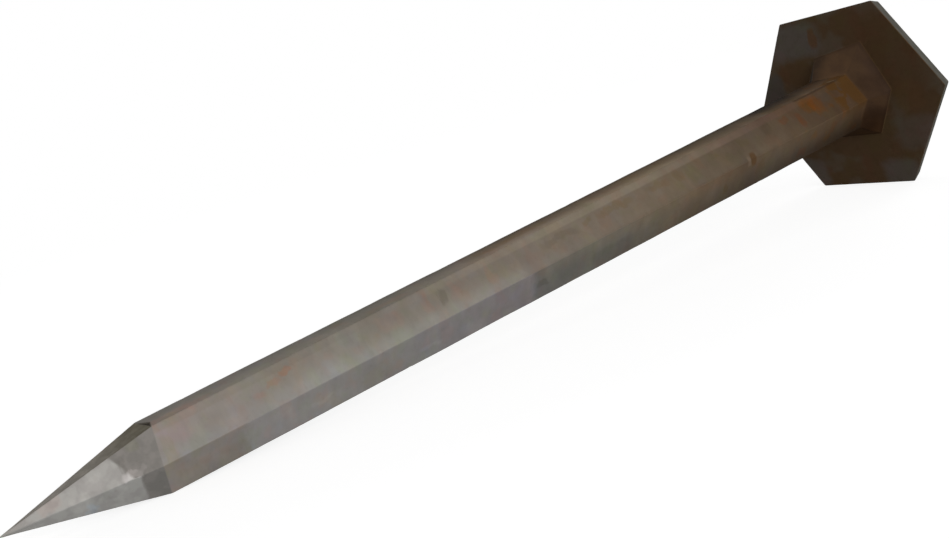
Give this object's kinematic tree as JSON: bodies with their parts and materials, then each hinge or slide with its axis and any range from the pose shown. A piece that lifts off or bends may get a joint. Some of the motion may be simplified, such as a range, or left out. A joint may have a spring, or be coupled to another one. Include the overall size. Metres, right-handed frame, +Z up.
{
  "type": "nail",
  "caption": "Rusted forged nail of hexagonal section with a pyramid point and a wide thin hexagonal head, lying on its shoulder and one flat of the head.",
  "frame": {"origin": "middle of the lying nail's outline, on the surface that it lies on", "axes": "+X from the point to the head, +Z up, away from the surface that it lies on"},
  "size_m": [0.1018, 0.023, 0.0198],
  "materials": {
    "iron": "dull dark forged iron, bare and pale at the point, brown and rusty towards the head"
  },
  "bodies": {
    "root": {"nail": "iron"}
  },
  "joints": []
}
